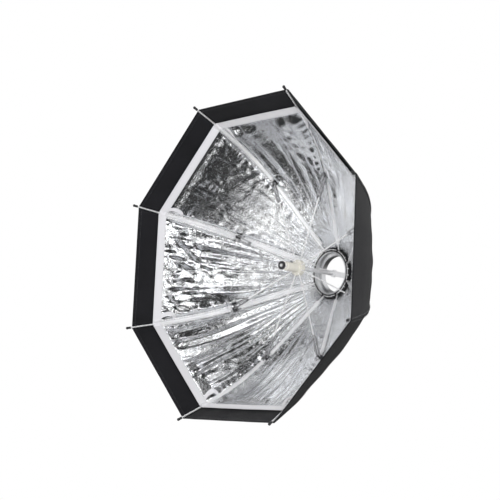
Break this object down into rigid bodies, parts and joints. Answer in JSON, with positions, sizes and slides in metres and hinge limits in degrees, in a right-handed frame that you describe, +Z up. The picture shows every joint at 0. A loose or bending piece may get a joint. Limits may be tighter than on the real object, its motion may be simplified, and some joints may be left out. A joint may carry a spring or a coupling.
{
  "type": "studio softbox",
  "caption": "Octagonal umbrella-frame softbox with a silver lining, a notched crown on a bayonet flash mount, and a central shaft whose sliding runner folds it.",
  "frame": {"origin": "centre of the mount ring's bore at its rear face", "axes": "+Y along the mount's bore, out of the rear towards the flash head; the open mouth faces -Y; +Z up, with a flat of the octagon at the top"},
  "size_m": [0.7478, 0.3611, 0.7478],
  "materials": {
    "black_fabric": "woven polyester, matt",
    "silver_lining": "metallised film on fabric, crinkled",
    "white_tape": "hook-and-loop tape",
    "rib_steel": "bright plated steel rod",
    "black_plastic": "moulded nylon, satin",
    "mount_silver": "turned and anodised",
    "ivory_plastic": "moulded, satin",
    "screw_steel": "plated steel"
  },
  "bodies": {
    "hub": {"mount_ring": "mount_silver", "crown": "black_plastic", "crown_wire": "rib_steel", "clamp_band": "black_plastic", "bridge": "mount_silver", "bridge_screws": "screw_steel", "shaft": "rib_steel", "shaft_knob": "black_plastic", "shaft_end_ball": "rib_steel"},
    "runner": {"runner": "ivory_plastic", "runner_wire": "rib_steel"},
    "release_button": {"release_button": "black_plastic"},
    "rib_1": {"rib_1": "rib_steel", "rib_tip_1": "black_plastic", "rib_clip_1": "black_plastic", "canopy_1": "black_fabric", "tape_1": "white_tape"},
    "stretcher_1": {"stretcher_1": "rib_steel"},
    "rib_2": {"rib_2": "rib_steel", "rib_tip_2": "black_plastic", "rib_clip_2": "black_plastic", "canopy_2": "black_fabric", "tape_2": "white_tape"},
    "stretcher_2": {"stretcher_2": "rib_steel"},
    "rib_3": {"rib_3": "rib_steel", "rib_tip_3": "black_plastic", "rib_clip_3": "black_plastic", "canopy_3": "black_fabric", "tape_3": "white_tape"},
    "stretcher_3": {"stretcher_3": "rib_steel"},
    "rib_4": {"rib_4": "rib_steel", "rib_tip_4": "black_plastic", "rib_clip_4": "black_plastic", "canopy_4": "black_fabric", "tape_4": "white_tape"},
    "stretcher_4": {"stretcher_4": "rib_steel"},
    "rib_5": {"rib_5": "rib_steel", "rib_tip_5": "black_plastic", "rib_clip_5": "black_plastic", "canopy_5": "black_fabric", "tape_5": "white_tape"},
    "stretcher_5": {"stretcher_5": "rib_steel"},
    "rib_6": {"rib_6": "rib_steel", "rib_tip_6": "black_plastic", "rib_clip_6": "black_plastic", "canopy_6": "black_fabric", "tape_6": "white_tape"},
    "stretcher_6": {"stretcher_6": "rib_steel"},
    "rib_7": {"rib_7": "rib_steel", "rib_tip_7": "black_plastic", "rib_clip_7": "black_plastic", "canopy_7": "black_fabric", "tape_7": "white_tape"},
    "stretcher_7": {"stretcher_7": "rib_steel"},
    "rib_8": {"rib_8": "rib_steel", "rib_tip_8": "black_plastic", "rib_clip_8": "black_plastic", "canopy_8": "black_fabric", "tape_8": "white_tape"},
    "stretcher_8": {"stretcher_8": "rib_steel"}
  },
  "joints": [
    {"name": "rib_fold_1", "type": "hinge", "parent": "hub", "child": "rib_1", "pos_m": [0.05128, -0.023, 0.02124], "axis": [0.3827, 0, -0.9239], "range_deg": [0, 46], "deforming": ["canopy_1", "tape_1"]},
    {"name": "rib_fold_2", "type": "hinge", "parent": "hub", "child": "rib_2", "pos_m": [0.02124, -0.023, 0.05128], "axis": [0.9239, 0, -0.3827], "range_deg": [0, 46], "deforming": ["canopy_2", "tape_2"]},
    {"name": "rib_fold_3", "type": "hinge", "parent": "hub", "child": "rib_3", "pos_m": [-0.02124, -0.023, 0.05128], "axis": [0.9239, 0, 0.3827], "range_deg": [0, 46], "deforming": ["canopy_3", "tape_3"]},
    {"name": "rib_fold_4", "type": "hinge", "parent": "hub", "child": "rib_4", "pos_m": [-0.05128, -0.023, 0.02124], "axis": [0.3827, 0, 0.9239], "range_deg": [0, 46], "deforming": ["canopy_4", "tape_4"]},
    {"name": "rib_fold_5", "type": "hinge", "parent": "hub", "child": "rib_5", "pos_m": [-0.05128, -0.023, -0.02124], "axis": [-0.3827, 0, 0.9239], "range_deg": [0, 46], "deforming": ["canopy_5", "tape_5"]},
    {"name": "rib_fold_6", "type": "hinge", "parent": "hub", "child": "rib_6", "pos_m": [-0.02124, -0.023, -0.05128], "axis": [-0.9239, 0, 0.3827], "range_deg": [0, 46], "deforming": ["canopy_6", "tape_6"]},
    {"name": "rib_fold_7", "type": "hinge", "parent": "hub", "child": "rib_7", "pos_m": [0.02124, -0.023, -0.05128], "axis": [-0.9239, 0, -0.3827], "range_deg": [0, 46], "deforming": ["canopy_7", "tape_7"]},
    {"name": "rib_fold_8", "type": "hinge", "parent": "hub", "child": "rib_8", "pos_m": [0.05128, -0.023, -0.02124], "axis": [-0.3827, 0, -0.9239], "range_deg": [0, 46], "deforming": ["canopy_8", "tape_8"]},
    {"name": "runner_slide", "type": "slide", "parent": "hub", "child": "runner", "axis": [0, 1, 0], "range_m": [0, 0.10725]},
    {"name": "stretcher_swing_1", "type": "hinge", "parent": "runner", "child": "stretcher_1", "pos_m": [0.01478, -0.141, 0.00612], "axis": [0.3827, 0, -0.9239], "range_deg": [0, 68.94]},
    {"name": "stretcher_swing_2", "type": "hinge", "parent": "runner", "child": "stretcher_2", "pos_m": [0.00612, -0.141, 0.01478], "axis": [0.9239, 0, -0.3827], "range_deg": [0, 68.94]},
    {"name": "stretcher_swing_3", "type": "hinge", "parent": "runner", "child": "stretcher_3", "pos_m": [-0.00612, -0.141, 0.01478], "axis": [0.9239, 0, 0.3827], "range_deg": [0, 68.94]},
    {"name": "stretcher_swing_4", "type": "hinge", "parent": "runner", "child": "stretcher_4", "pos_m": [-0.01478, -0.141, 0.00612], "axis": [0.3827, 0, 0.9239], "range_deg": [0, 68.94]},
    {"name": "stretcher_swing_5", "type": "hinge", "parent": "runner", "child": "stretcher_5", "pos_m": [-0.01478, -0.141, -0.00612], "axis": [-0.3827, 0, 0.9239], "range_deg": [0, 68.94]},
    {"name": "stretcher_swing_6", "type": "hinge", "parent": "runner", "child": "stretcher_6", "pos_m": [-0.00612, -0.141, -0.01478], "axis": [-0.9239, 0, 0.3827], "range_deg": [0, 68.94]},
    {"name": "stretcher_swing_7", "type": "hinge", "parent": "runner", "child": "stretcher_7", "pos_m": [0.00612, -0.141, -0.01478], "axis": [-0.9239, 0, -0.3827], "range_deg": [0, 68.94]},
    {"name": "stretcher_swing_8", "type": "hinge", "parent": "runner", "child": "stretcher_8", "pos_m": [0.01478, -0.141, -0.00612], "axis": [-0.3827, 0, -0.9239], "range_deg": [0, 68.94]},
    {"name": "button_press", "type": "slide", "parent": "runner", "child": "release_button", "axis": [0, 0, -1], "range_m": [0, 0.002], "stiffness_N_per_m": 400}
  ],
  "couplings": [
    {"joint": "rib_fold_2", "follows": "rib_fold_1", "ratio": 1},
    {"joint": "rib_fold_3", "follows": "rib_fold_1", "ratio": 1},
    {"joint": "rib_fold_4", "follows": "rib_fold_1", "ratio": 1},
    {"joint": "rib_fold_5", "follows": "rib_fold_1", "ratio": 1},
    {"joint": "rib_fold_6", "follows": "rib_fold_1", "ratio": 1},
    {"joint": "rib_fold_7", "follows": "rib_fold_1", "ratio": 1},
    {"joint": "rib_fold_8", "follows": "rib_fold_1", "ratio": 1},
    {"joint": "runner_slide", "follows": "rib_fold_1", "m_per_rad": 0.13359},
    {"joint": "stretcher_swing_1", "follows": "rib_fold_1", "ratio": 1.4986},
    {"joint": "stretcher_swing_2", "follows": "rib_fold_1", "ratio": 1.4986},
    {"joint": "stretcher_swing_3", "follows": "rib_fold_1", "ratio": 1.4986},
    {"joint": "stretcher_swing_4", "follows": "rib_fold_1", "ratio": 1.4986},
    {"joint": "stretcher_swing_5", "follows": "rib_fold_1", "ratio": 1.4986},
    {"joint": "stretcher_swing_6", "follows": "rib_fold_1", "ratio": 1.4986},
    {"joint": "stretcher_swing_7", "follows": "rib_fold_1", "ratio": 1.4986},
    {"joint": "stretcher_swing_8", "follows": "rib_fold_1", "ratio": 1.4986}
  ]
}
